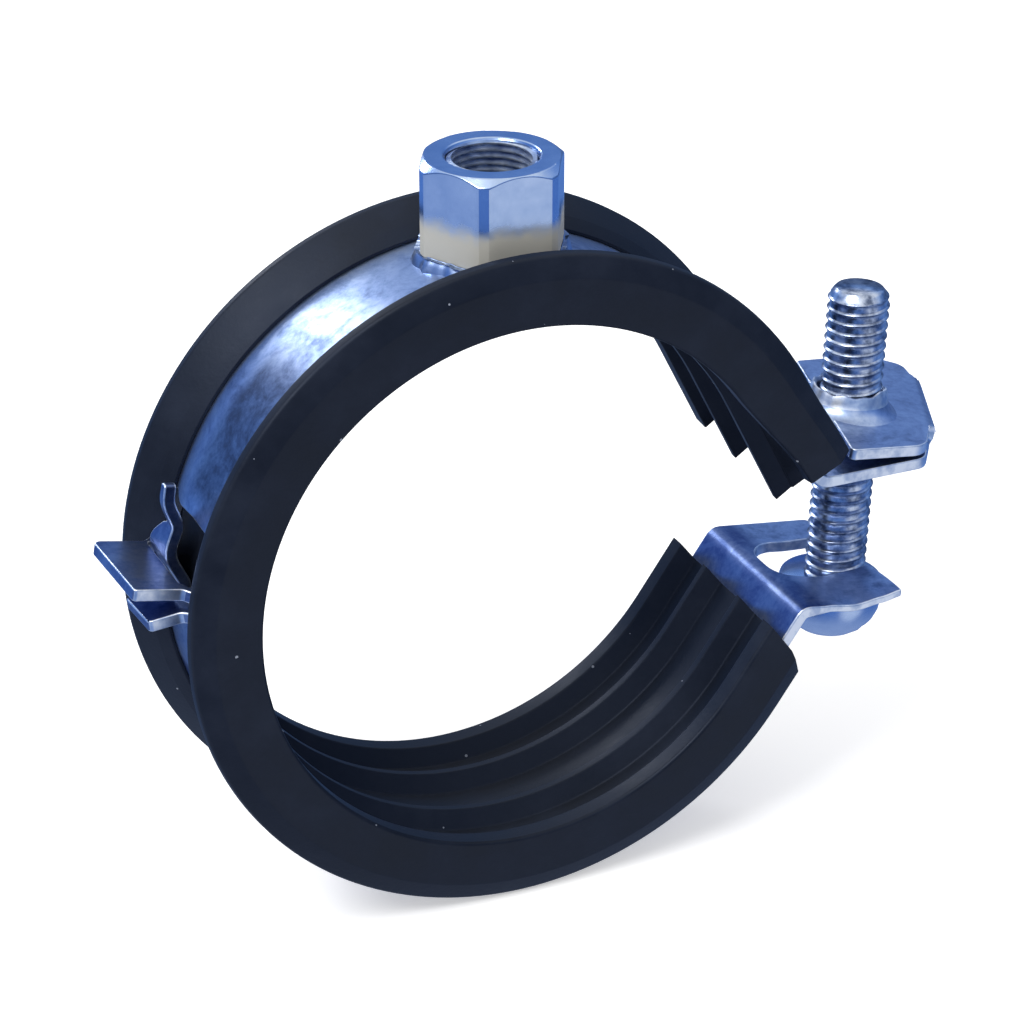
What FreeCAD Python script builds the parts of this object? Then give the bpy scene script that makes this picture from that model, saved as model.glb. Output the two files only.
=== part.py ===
import FreeCAD, Part
import math
import os
from FreeCAD import Placement, Rotation, Vector

# Rubber lined pipe clamp: two steel half rings hinged on the left, an M6 screw that draws
# their ears together on the right, an M8 hexagon boss on top and one rubber lining inside.
# Origin on the pipe axis in the middle of the clamp's width; +X towards the screw,
# +Y along the pipe, +Z up through the boss. Millimetres.

SIZES = [
    # Pipe seat and lining
    ("pipe_diameter", 50.0),
    ("lining_base", 2.5),
    ("lining_side", 0.95),
    ("lining_gap", 0.05),
    ("rim_height", 2.7),
    ("rim_bevel", 1.2),
    ("rim_crest", 1.8),
    ("lip_reach", 4.25),
    ("lip_tip", 0.25),
    ("rib_spacing", 6.9),
    ("rib_crest", 0.7),
    ("groove_depth", 1.7),
    ("groove_flank", 1.2),
    # Steel strip of both half rings
    ("strip_thickness", 1.1),
    ("strip_width", 18.5),
    ("bend_radius", 1.0),
    ("upper_straight_from", 27.0),
    ("lower_straight_from", 35.0),
    # Upper ear: flat plate, folded back on itself, with the thread drawn into the fold
    ("upper_ear_height", 3.75),
    ("upper_ear_reach", 45.6),
    ("fold_skew", 24.5),
    ("fold_tilt", 7.0),
    ("fold_gap", 0.2),
    ("flap_start", 32.6),
    ("flap_slant", 3.8),
    ("flap_corner", 1.2),
    ("collar_radius", 3.9),
    ("collar_height", 1.0),
    # Lower ear: short flat tab with a slot that is open to the outside
    ("lower_ear_height", -8.1),
    ("lower_ear_reach", 38.5),
    ("lower_ear_dip", 0.9),
    ("slot_width", 6.9),
    ("slot_start", 28.7),
    # Closing screw
    ("screw_radius", 2.95),
    ("screw_fit", 0.05),
    ("screw_hole_gap", 0.4),
    ("screw_place", 36.9),
    ("screw_lean", 2.65),
    ("screw_top", 18.7),
    ("screw_tip_chamfer", 0.7),
    ("head_radius", 4.7),
    ("head_height", 4.3),
    ("head_rim", 1.5),
    ("head_gap", 0.9),
    ("driver_slot_width", 1.4),
    ("driver_slot_depth", 1.6),
    # Hexagon boss
    ("boss_flats", 12.0),
    ("boss_height", 8.65),
    ("boss_shift", 0.85),
    ("boss_bore_radius", 3.4),
    ("boss_bore_chamfer", 0.75),
    ("boss_corner_drop", 1.0),
    ("boss_room_gap", 0.1),
    ("boss_relief_radius", 3.9),
    ("boss_relief_height", 0.6),
    ("boss_fit", 0.01),
    # Hinge flanges, window and tongue
    ("window_room", 2.0),
    ("upper_flange_run", 4.6),
    ("upper_flange_height", 4.05),
    ("upper_flange_tilt", 10.5),
    ("lower_flange_run", 3.3),
    ("lower_flange_height", 1.5),
    ("lower_flange_tilt", 4.5),
    ("flange_width", 10.0),
    ("flange_root", 14.0),
    ("flange_taper", 1.9),
    ("strip_end_height", 5.4),
    ("window_top", 9.0),
    ("window_width", 9.4),
    ("window_shift", 0.3),
    ("tongue_width", 4.4),
    ("tongue_shift", 2.4),
    ("tongue_top", 11.5),
    ("tongue_gap", 0.3),
]

doc = FreeCAD.newDocument("pipe_clamp")
sheet = doc.addObject("Spreadsheet::Sheet", "Sizes")
for row, (alias, value) in enumerate(SIZES, start=1):
    sheet.set(f"A{row}", alias)
    sheet.set(f"B{row}", str(value))
    sheet.setAlias(f"B{row}", alias)
doc.recompute()
size = {alias: float(sheet.get(alias)) for alias, value in SIZES}


def bind(thing, **formulas):
    """Tie a thing's properties to the sheet; double underscores stand for dots."""
    for name, formula in formulas.items():
        words = [f"Sizes.{word}" if word in size else word for word in formula.split()]
        thing.setExpression(name.replace("__", "."), " ".join(words))


def tangent_point(angle, radius):
    """A point of a circle round the pipe axis, in the X-Z plane."""
    turn = math.radians(angle)
    return Vector(radius * math.cos(turn), radius * math.sin(turn), 0)


def meet(first, first_way, second, second_way):
    """Where two straight lines in the drawing plane cross."""
    cross = first_way.x * second_way.y - first_way.y * second_way.x
    gap = second - first
    run = (gap.x * second_way.y - gap.y * second_way.x) / cross
    return first + first_way * run


def rounded(points, radii):
    """Edges along the points, with each inner corner rounded to its radius."""
    edges = []
    start = points[0]
    for before, corner, after, radius in zip(points, points[1:], points[2:], radii):
        back = (before - corner).normalize()
        ahead = (after - corner).normalize()
        half = back.getAngle(ahead) / 2
        if math.pi / 2 - half < 1e-6:
            continue
        if radius <= 0:
            edges.append(Part.LineSegment(start, corner))
            start = corner
            continue
        reach = radius / math.tan(half)
        middle_way = (back + ahead).normalize()
        centre = corner + middle_way * (radius / math.sin(half))
        arc_start = corner + back * reach
        arc_end = corner + ahead * reach
        edges.append(Part.LineSegment(start, arc_start))
        edges.append(Part.Arc(arc_start, centre - middle_way * radius, arc_end))
        start = arc_end
    edges.append(Part.LineSegment(start, points[-1]))
    return edges


def shifted(points, radii, thickness):
    """The same path, moved to its left by the sheet's thickness."""
    ways = [(b - a).normalize() for a, b in zip(points, points[1:])]
    sides = [Vector(-way.y, way.x, 0) * thickness for way in ways]
    moved = [points[0] + sides[0]]
    new_radii = []
    for index, radius in enumerate(radii):
        corner = points[index + 1]
        first, second = ways[index], ways[index + 1]
        moved.append(meet(corner + sides[index], first, corner + sides[index + 1], second))
        turns_left = first.x * second.y - first.y * second.x > 0
        new_radii.append(radius - thickness if turns_left else radius + thickness)
    moved.append(points[-1] + sides[-1])
    return moved, new_radii


def drawing(name, edges, placement):
    sketch = doc.addObject("Sketcher::SketchObject", name)
    sketch.Placement = placement
    for edge in edges:
        sketch.addGeometry(edge, False)
    return sketch


def side_view(offset=0.0):
    """Drawing plane across the pipe: drawing X is X and drawing Y is Z."""
    return Placement(Vector(0, offset, 0), Rotation(Vector(1, 0, 0), 90))


def sheet_outline(points, radii, thickness):
    """Closed outline of a bent sheet seen from its edge."""
    outer, outer_radii = shifted(points, radii, thickness)
    edges = rounded(points, radii)
    edges.append(Part.LineSegment(points[-1], outer[-1]))
    edges += rounded(outer[::-1], outer_radii[::-1])
    edges.append(Part.LineSegment(outer[0], points[0]))
    return edges


def closed_outline(points, radii):
    """Closed outline with each corner rounded to its radius."""
    middle = (points[0] + points[-1]) / 2
    ring = [middle] + points + [middle]
    return rounded(ring, radii)


def extrusion(name, sketch, width, way=None):
    """A drawing pulled out to both sides; a way off square makes it skewed."""
    solid = doc.addObject("Part::Extrusion", name)
    solid.Base = sketch
    solid.DirMode = "Normal" if way is None else "Custom"
    if way is not None:
        solid.Dir = way
    solid.Solid = True
    solid.Symmetric = True
    bind(solid, LengthFwd=width)
    return solid


def block(name, low, high):
    """A box between two corners, for cutting."""
    box = doc.addObject("Part::Box", name)
    box.Length, box.Width, box.Height = (high[i] - low[i] for i in range(3))
    box.Placement.Base = Vector(*low)
    return box


def cut(name, base, *tools):
    """A base with one or more tools taken away."""
    tool = tools[0]
    if len(tools) > 1:
        tool = doc.addObject("Part::MultiFuse", f"{name}_tools")
        tool.Shapes = list(tools)
    result = doc.addObject("Part::Cut", name)
    result.Base = base
    result.Tool = tool
    result.Refine = True
    return result


def fuse(name, *shapes):
    result = doc.addObject("Part::MultiFuse", name)
    result.Shapes = list(shapes)
    result.Refine = True
    return result


# Radii of the ring, worked out from the pipe outwards
bore = size["pipe_diameter"] / 2
strip_inner = bore + size["lining_base"]
thick = size["strip_thickness"]
strip_outer = strip_inner + thick
rim_outer = strip_outer + size["rim_height"]
half_strip = size["strip_width"] / 2
half_lining = half_strip + size["lining_side"]
sheet_bend = size["bend_radius"] + thick
FAR = 60.0


def screw_point(height):
    """A point of the leaning screw axis at a height."""
    return Vector(size["screw_place"] + height * math.tan(math.radians(size["screw_lean"])), 0, height)


def screw_pose(height):
    return Placement(screw_point(height), Rotation(Vector(0, 1, 0), size["screw_lean"]))


def on_screw(name, radius, low, high):
    """A round tool on the screw axis between two heights."""
    tool = doc.addObject("Part::Cylinder", name)
    bind(tool, Radius=radius)
    tool.Height = high - low
    tool.Placement = screw_pose(low)
    return tool


def flange_sides(name, width, low, high):
    """What is cut off beside a hinge flange: it narrows from its root to its outer end."""
    root = size["flange_root"] / 2
    tip = width / 2
    step = window_edge - size["flange_taper"]
    tools = []
    for side, sign in (("front", -1), ("back", 1)):
        points = [(-FAR, tip), (step, tip), (window_edge + 0.6, root), (window_edge + 0.6, FAR), (-FAR, FAR)]
        corners = [Vector(x, sign * y, 0) for x, y in points]
        loop = corners + corners[:1]
        edges = [Part.LineSegment(a, b) for a, b in zip(loop, loop[1:])]
        sketch = drawing(f"{name}_{side}_drawing", edges, Placement(Vector(0, 0, (low + high) / 2), Rotation()))
        tool = doc.addObject("Part::Extrusion", f"{name}_{side}")
        tool.Base = sketch
        tool.DirMode = "Normal"
        tool.Solid = True
        tool.Symmetric = True
        tool.LengthFwd = high - low
        tools.append(tool)
    return tools


# Upper half ring: strip from the hinge flange over the top to the flat part of the ear
window_edge = -(strip_outer + size["window_room"])
upper_down = Vector(math.sin(math.radians(size["upper_straight_from"])),
                    -math.cos(math.radians(size["upper_straight_from"])), 0)
HINGE_TANGENT = 167.0
hinge_down = Vector(-math.sin(math.radians(HINGE_TANGENT)), math.cos(math.radians(HINGE_TANGENT)), 0)
ear_touch = tangent_point(size["upper_straight_from"], strip_inner)
hinge_touch = tangent_point(HINGE_TANGENT, strip_inner)
flange_way = Vector(math.cos(math.radians(size["upper_flange_tilt"])),
                    -math.sin(math.radians(size["upper_flange_tilt"])), 0)
flange_end = Vector(window_edge - size["upper_flange_run"], size["upper_flange_height"], 0)
level = Vector(1, 0, 0)
ear_level = Vector(0, size["upper_ear_height"], 0)
EAR_JOIN = 38.0
upper_path = [
    flange_end,
    meet(flange_end, flange_way, hinge_touch, hinge_down),
    meet(hinge_touch, hinge_down, ear_touch, upper_down),
    meet(ear_touch, upper_down, ear_level, level),
    Vector(EAR_JOIN, size["upper_ear_height"], 0),
]
upper_radii = [sheet_bend, strip_inner, sheet_bend]
upper_strip = extrusion(
    "upper_strip",
    drawing("upper_strip_drawing", sheet_outline(upper_path, upper_radii, thick), side_view()),
    "strip_width",
)

# The ear runs on to a skewed fold and comes back above itself, as wide as the strip
skew = math.tan(math.radians(size["fold_skew"]))
lean = math.tan(math.radians(size["fold_tilt"]))
fold_radius = thick + size["fold_gap"] / 2
fold_top = size["upper_ear_height"] + 2 * fold_radius
flap_left = size["flap_start"] - 1.5 * half_strip
fold_path = [
    Vector(flap_left, size["upper_ear_height"], 0),
    Vector(size["upper_ear_reach"], size["upper_ear_height"], 0),
    Vector(size["upper_ear_reach"], fold_top, 0),
    Vector(flap_left, fold_top + (size["upper_ear_reach"] - flap_left) * lean, 0),
]
fold = extrusion(
    "ear_fold",
    drawing("ear_fold_drawing", sheet_outline(fold_path, [fold_radius - 0.01] * 2, thick), side_view()),
    "strip_width / cos( fold_skew * 1deg )",
    Vector(skew, 1, 0),
)
ear_end = size["upper_ear_reach"] - size["flap_start"]
plan = [
    Vector(0, -half_strip, 0),
    Vector(0.54 * ear_end, -half_strip, 0),
    Vector(0.88 * ear_end, -0.42 * half_strip, 0),
    Vector(1.14 * ear_end, 0.5 * half_strip, 0),
    Vector(1.08 * ear_end, 0.76 * half_strip, 0),
    Vector(0.64 * ear_end, half_strip, 0),
    Vector(size["flap_slant"], half_strip, 0),
]
plan = [point + Vector(size["flap_start"], 0, 0) for point in plan]
corner = size["flap_corner"]
ear_plan = extrusion(
    "ear_plan",
    drawing("ear_plan_drawing", closed_outline(plan, [0] + [corner] * 5 + [0]), Placement()),
    "4 * upper_ear_reach",
)
ear = doc.addObject("Part::Common", "folded_ear")
ear.Base = fold
ear.Tool = ear_plan

# The thread's collar is drawn up out of the folded-back plate
collar_foot = fold_top + (size["upper_ear_reach"] - size["screw_place"]) * lean - thick / 2
collar = doc.addObject("Part::Cone", "thread_collar")
bind(collar, Radius1="collar_radius", Radius2="collar_radius - 0.45", Height="collar_height + strip_thickness / 2")
collar.Placement = screw_pose(collar_foot)

thread_floor = size["upper_ear_height"] + thick + size["fold_gap"] / 2
upper_thread = on_screw("upper_thread", "screw_radius + screw_fit", thread_floor, 20.0)
upper_hole = on_screw("upper_hole", "screw_radius + screw_hole_gap", 0.0, thread_floor + 0.1)
window_low = size["window_shift"] - size["window_width"] / 2
window_high = size["window_shift"] + size["window_width"] / 2
window = block("hinge_window", (window_edge, window_low, 0), (-20, window_high, size["window_top"]))
side_back = block("strip_side_back", (-FAR, size["flange_root"] / 2, -5), (-20, FAR, size["strip_end_height"]))
side_front = block("strip_side_front", (-FAR, -FAR, -5), (-20, -size["flange_root"] / 2, size["strip_end_height"]))
upper_sides = flange_sides("upper_flange_side", size["flange_width"], -2.0, 8.0)
upper_blank = fuse("upper_blank", upper_strip, ear, collar)
upper_half = cut("upper_half", upper_blank, upper_thread, upper_hole, window, side_back, side_front, *upper_sides)

# Lower half ring: strip from the slotted ear under the pipe to its own hinge flange
lower_up = Vector(math.sin(math.radians(size["lower_straight_from"])),
                  math.cos(math.radians(size["lower_straight_from"])), 0)
lower_touch = tangent_point(-size["lower_straight_from"], strip_inner)
LOWER_TANGENT = 185.0
lower_hinge_touch = tangent_point(LOWER_TANGENT, strip_inner)
lower_hinge_up = Vector(math.sin(math.radians(LOWER_TANGENT)), -math.cos(math.radians(LOWER_TANGENT)), 0)
ear_top = size["lower_ear_height"]
dip_floor = ear_top - size["lower_ear_dip"]
reach = size["lower_ear_reach"]
lower_flange_end = Vector(window_edge - size["lower_flange_run"], size["lower_flange_height"], 0)
lower_flange_way = Vector(math.cos(math.radians(size["lower_flange_tilt"])),
                          math.sin(math.radians(size["lower_flange_tilt"])), 0)
lower_path = [
    Vector(reach, ear_top - 0.3, 0),
    Vector(reach - 1.1, ear_top - 0.4, 0),
    Vector(reach - 2.9, dip_floor, 0),
    Vector(reach - 6.7, dip_floor, 0),
    Vector(reach - 8.9, ear_top, 0),
    meet(Vector(0, ear_top, 0), level, lower_touch, lower_up),
    meet(lower_touch, lower_up, lower_hinge_touch, lower_hinge_up),
    meet(lower_hinge_touch, lower_hinge_up, lower_flange_end, lower_flange_way),
    lower_flange_end,
]
lower_radii = [2.0, 2.5, 2.5, 2.5, size["bend_radius"] / 2 + thick, strip_inner, sheet_bend]
lower_strip = extrusion(
    "lower_strip",
    drawing("lower_strip_drawing", sheet_outline(lower_path, lower_radii, thick), side_view()),
    "strip_width",
)

# The tongue stands up from the lower strip and hooks through the window in an S
middle = -(strip_inner + 0.35)
top = size["tongue_top"]
tongue_path = [
    Vector(middle, -3.0, 0),
    Vector(middle, 2.2, 0),
    Vector(middle - 1.3, 4.9, 0),
    Vector(middle - 0.25, 7.5, 0),
    Vector(middle - 1.1, top - 1.6, 0),
    Vector(middle - 0.85, top, 0),
]
tongue = extrusion(
    "tongue_blank",
    drawing("tongue_drawing", sheet_outline(tongue_path, [2.0, 1.9, 1.9, 2.0], thick), side_view(size["tongue_shift"])),
    "tongue_width",
)
tongue_low = size["tongue_shift"] - size["tongue_width"] / 2 - size["tongue_gap"]
tongue_high = size["tongue_shift"] + size["tongue_width"] / 2 + size["tongue_gap"]
tongue_room = block("tongue_room", (-FAR / 2, tongue_low, 0.3), (-20, tongue_high, 6))
outer_room = block("outer_room", (-FAR, tongue_low, -3), (window_edge, tongue_high, 0.3))
LOWER_SIDE = -1.0
lower_back = block("lower_side_back", (-FAR, size["flange_root"] / 2, LOWER_SIDE), (-20, FAR, 6))
lower_front = block("lower_side_front", (-FAR, -FAR, LOWER_SIDE), (-20, -size["flange_root"] / 2, 6))
lower_sides = flange_sides("lower_flange_side", size["flange_width"] + 0.8, -3.0, 6.0)
root_gap = block("tongue_root_gap", (window_edge, tongue_low, 0.3), (-20, tongue_high, 6))

slot_half = size["slot_width"] / 2
slot_points = [
    Vector(size["slot_start"], -slot_half, 0),
    Vector(FAR, -slot_half, 0),
    Vector(FAR, slot_half, 0),
    Vector(size["slot_start"], slot_half, 0),
]
slot_round = [2.2, 0, 0, 2.2]
slot_tool = extrusion(
    "ear_slot",
    drawing("ear_slot_drawing", closed_outline(slot_points, slot_round), Placement(Vector(0, 0, ear_top), Rotation())),
    "2 * slot_width",
)
lower_blank = cut("lower_blank", lower_strip, root_gap, lower_back, lower_front, slot_tool, *lower_sides)
lower_half = fuse("lower_half", lower_blank, tongue)

# Rubber lining: one moulded strip, revolved round the pipe axis with a straight end at each ear
gap = size["lining_gap"]
half_crest = size["rib_crest"] / 2
groove = bore + size["groove_depth"]
flank = size["groove_flank"]
half_ribs = size["rib_spacing"] / 2
rim_edge = half_lining - size["rim_crest"]
lip_edge = half_strip - size["lip_reach"]
inner_side = [
    (half_lining, bore),
    (rim_edge, bore),
    (rim_edge - flank, groove),
    (half_ribs + half_crest + flank, groove),
    (half_ribs + half_crest, bore),
    (half_ribs - half_crest, bore),
    (half_ribs - half_crest - flank, groove),
]
outer_side = [
    (half_strip + gap, strip_inner - gap),
    (half_strip + gap, strip_outer + gap),
    (lip_edge, strip_outer + gap),
    (lip_edge, strip_outer + gap + size["lip_tip"]),
    (lip_edge + 1.0, strip_outer + 1.2),
    (half_lining - 1.7, rim_outer),
    (half_lining - 0.9, rim_outer - 0.1),
    (half_lining, rim_outer - size["rim_bevel"] - 0.5),
]
back_side = inner_side[::-1] + outer_side[::-1]
front_side = [(-y, r) for y, r in outer_side] + [(-y, r) for y, r in inner_side]
section = [Vector(r, y, 0) for y, r in back_side + front_side]


def section_pose(angle):
    """Drawing plane through the pipe axis: drawing X is outwards and drawing Y is Y."""
    turn = Rotation(Vector(0, 1, 0), -angle)
    return Placement(Vector(0, 0, 0), turn)


loop = section + section[:1]
section_edges = [Part.LineSegment(a, b) for a, b in zip(loop, loop[1:])]
upper_section = drawing("lining_section", section_edges, section_pose(size["upper_straight_from"]))
lower_section = drawing("lining_end_section", section_edges, section_pose(-size["lower_straight_from"]))
ring = doc.addObject("Part::Revolution", "lining_ring")
ring.Source = upper_section
ring.Axis = Vector(0, -1, 0)
ring.Base = Vector(0, 0, 0)
ring.Solid = True
bind(ring, Angle="360 - upper_straight_from - lower_straight_from")
END_LENGTH = 13.0
upper_end = doc.addObject("Part::Extrusion", "lining_upper_end")
upper_end.Base = upper_section
upper_end.DirMode = "Custom"
upper_end.Dir = Vector(upper_down.x, 0, upper_down.y)
upper_end.LengthFwd = END_LENGTH
upper_end.Solid = True
lower_end = doc.addObject("Part::Extrusion", "lining_lower_end")
lower_end.Base = lower_section
lower_end.DirMode = "Custom"
lower_end.Dir = Vector(lower_up.x, 0, lower_up.y)
lower_end.LengthFwd = END_LENGTH
lower_end.Solid = True
lining_blank = fuse("lining_blank", ring, upper_end, lower_end)


def slanted(name, inner, outer, up, depth=END_LENGTH):
    """Tool that cuts the lining's end off along the line from its inner to its outer corner."""
    way = (outer - inner).normalize()
    side = Vector(-way.y, way.x, 0) * (depth if up else -depth)
    start = inner - way * 4
    end = outer + way * 12
    corners = [start, end, end + side, start + side, start]
    edges = [Part.LineSegment(a, b) for a, b in zip(corners, corners[1:])]
    return extrusion(name, drawing(f"{name}_drawing", edges, side_view()), "3 * strip_width")


def along_end(run, rise):
    """A point beside the lining's upper end: run along its straight part, rise outwards from its inner side."""
    return tangent_point(size["upper_straight_from"], bore + rise) + upper_down * run


upper_cut = slanted("upper_end_cut", along_end(11.5, 0), along_end(9.5, 2.5), False)
rim_cut = slanted("upper_rim_cut", along_end(8.2, 0), along_end(8.2, 5), False, END_LENGTH / 2)
rim_space = block("upper_rim_space", (-FAR, -7.2, -FAR), (FAR, 7.2, FAR))
rims_only = cut("upper_rims_cut", rim_cut, rim_space)
lower_cut = slanted("lower_end_cut", Vector(24.6, -9.3, 0), Vector(28.2, -14.2, 0), True)
ear_room = block("ear_room", (29.0, -half_strip - gap, 3.4), (FAR, half_strip + gap, 5.75))
hinge_room = block("hinge_room", (-FAR, -7.3, -2.5), (-strip_inner - 0.02, 7.3, size["window_top"] + 0.4))
boss_room = doc.addObject("Part::Prism", "boss_room")
boss_room.Polygon = 6
bind(boss_room, Circumradius="( boss_flats + 2 * boss_room_gap ) / sqrt( 3 )", Height="2 * boss_height")
boss_room.Placement.Base = Vector(size["boss_shift"], 0, strip_outer - 3)
rubber_lining = cut("rubber_lining", lining_blank, upper_cut, rims_only, lower_cut, ear_room, hinge_room, boss_room)

# Closing screw: slotted pan head under the lower ear, shank up through both ears
screw = doc.addObject("PartDesign::Body", "closing_screw")
planes = {plane.Role: plane for plane in screw.Origin.OriginFeatures}
half_profile = screw.newObject("Sketcher::SketchObject", "screw_profile")
half_profile.AttachmentSupport = [(planes["XZ_Plane"], "")]
half_profile.MapMode = "FlatFace"
ear_under = dip_floor - thick
head_top = ear_under - size["head_gap"]
shank = size["screw_top"] - head_top
chamfer = size["screw_tip_chamfer"]
tip = size["screw_radius"] - chamfer
head = size["head_radius"]
low = -size["head_height"]
rim = -size["head_rim"]
profile = [
    Part.LineSegment(Vector(0, low, 0), Vector(0, shank, 0)),
    Part.LineSegment(Vector(0, shank, 0), Vector(tip, shank, 0)),
    Part.LineSegment(Vector(tip, shank, 0), Vector(size["screw_radius"], shank - chamfer, 0)),
    Part.LineSegment(Vector(size["screw_radius"], shank - chamfer, 0), Vector(size["screw_radius"], 0, 0)),
    Part.LineSegment(Vector(size["screw_radius"], 0, 0), Vector(head, 0, 0)),
    Part.LineSegment(Vector(head, 0, 0), Vector(head, rim, 0)),
    Part.Arc(Vector(head, rim, 0), Vector(0.72 * head, rim + 0.72 * (low - rim), 0), Vector(0, low, 0)),
]
for edge in profile:
    half_profile.addGeometry(edge, False)
doc.recompute()
turned = screw.newObject("PartDesign::Revolution", "screw_turned")
turned.Profile = half_profile
turned.ReferenceAxis = (half_profile, ["V_Axis"])
turned.Angle = 360
doc.recompute()
driver_slot = screw.newObject("Sketcher::SketchObject", "driver_slot_drawing")
driver_slot.AttachmentSupport = [(planes["XZ_Plane"], "")]
driver_slot.MapMode = "FlatFace"
slot_low = Vector(-size["driver_slot_width"] / 2, 2 * low, 0)
slot_high = Vector(size["driver_slot_width"] / 2, low + size["driver_slot_depth"], 0)
slot_corners = [slot_low, Vector(slot_high.x, slot_low.y, 0), slot_high, Vector(slot_low.x, slot_high.y, 0), slot_low]
for a, b in zip(slot_corners, slot_corners[1:]):
    driver_slot.addGeometry(Part.LineSegment(a, b), False)
doc.recompute()
slotted = screw.newObject("PartDesign::Pocket", "driver_slot")
slotted.Profile = driver_slot
slotted.Type = "ThroughAll"
slotted.Midplane = True
doc.recompute()
screw.Placement = screw_pose(head_top)

# Hexagon boss: turned and tapped hexagon bar, shaped to the strip below and welded on
boss = doc.addObject("PartDesign::Body", "boss_body")
planes = {plane.Role: plane for plane in boss.Origin.OriginFeatures}
hexagon = boss.newObject("Sketcher::SketchObject", "boss_hexagon")
hexagon.AttachmentSupport = [(planes["XY_Plane"], "")]
hexagon.MapMode = "FlatFace"
corner_radius = size["boss_flats"] / math.sqrt(3)
corners = [tangent_point(60 * step, corner_radius) for step in range(7)]
for a, b in zip(corners, corners[1:]):
    hexagon.addGeometry(Part.LineSegment(a, b), False)
doc.recompute()
BOSS_SINK = 1.2
pad = boss.newObject("PartDesign::Pad", "boss_bar")
pad.Profile = hexagon
bind(pad, Length=f"boss_height + {BOSS_SINK}")
doc.recompute()
tall = size["boss_height"] + BOSS_SINK
drop = size["boss_corner_drop"]
bevel = boss.newObject("Sketcher::SketchObject", "boss_bevel")
bevel.AttachmentSupport = [(planes["XZ_Plane"], "")]
bevel.MapMode = "FlatFace"
round_top = size["boss_flats"] / 2 - 0.1
slope = drop / (corner_radius - round_top)
bevel_corners = [
    Vector(round_top, tall, 0),
    Vector(corner_radius + 1, tall - slope * (corner_radius + 1 - round_top), 0),
    Vector(corner_radius + 1, tall + 1, 0),
    Vector(round_top, tall + 1, 0),
    Vector(round_top, tall, 0),
]
for a, b in zip(bevel_corners, bevel_corners[1:]):
    bevel.addGeometry(Part.LineSegment(a, b), False)
doc.recompute()
beveled = boss.newObject("PartDesign::Groove", "boss_top_bevel")
beveled.Profile = bevel
beveled.ReferenceAxis = (bevel, ["V_Axis"])
beveled.Angle = 360
doc.recompute()
boss_z = strip_outer - BOSS_SINK
boss.Placement = Placement(Vector(size["boss_shift"], 0, boss_z), Rotation())
saddle = doc.addObject("Part::Cylinder", "boss_saddle")
saddle.Radius = strip_outer + size["boss_fit"]
saddle.Height = 2 * FAR
saddle.Placement = Placement(Vector(0, -FAR, 0), Rotation(Vector(1, 0, 0), -90))
boss_bore = doc.addObject("Part::Cylinder", "boss_bore")
bind(boss_bore, Radius="boss_bore_radius", Height="4 * boss_height")
boss_bore.Placement.Base = Vector(size["boss_shift"], 0, boss_z - 5)
boss_top = boss_z + tall
mouth = doc.addObject("Part::Cone", "boss_bore_mouth")
bind(mouth, Radius1="boss_bore_radius", Radius2="boss_bore_radius + 2 * boss_bore_chamfer",
     Height="2 * boss_bore_chamfer")
mouth.Placement.Base = Vector(size["boss_shift"], 0, boss_top - size["boss_bore_chamfer"])
relief = doc.addObject("Part::Cylinder", "boss_thread_relief")
bind(relief, Radius="boss_relief_radius")
relief.Height = BOSS_SINK + size["boss_relief_height"]
relief.Placement.Base = Vector(size["boss_shift"], 0, boss_z)
threaded_boss = cut("threaded_boss", boss, saddle, boss_bore, mouth, relief)

NODES = {
    "upper_half_ring": upper_half,
    "lower_half_ring": lower_half,
    "threaded_boss": threaded_boss,
    "closing_screw": screw,
    "rubber_lining": rubber_lining,
}
doc.recompute()

for thing in doc.Objects:
    if "Invalid" in thing.State or "Error" in thing.State:
        raise RuntimeError(f"{thing.Name} failed: {thing.State}")
for label, thing in NODES.items():
    thing.Label = label
    shape = thing.Shape
    if shape.isNull() or not shape.isValid():
        raise RuntimeError(f"{label} has no valid shape")
    if len(shape.Solids) != 1:
        raise RuntimeError(f"{label} has {len(shape.Solids)} solids")

os.makedirs("parts", exist_ok=True)
for label, thing in NODES.items():
    thing.Shape.exportStep(f"parts/{label}.step")
    print(label, "volume", round(thing.Shape.Volume, 1), "mm3")
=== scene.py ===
import math

import bmesh
import bpy
from mathutils import Matrix, Vector


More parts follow.
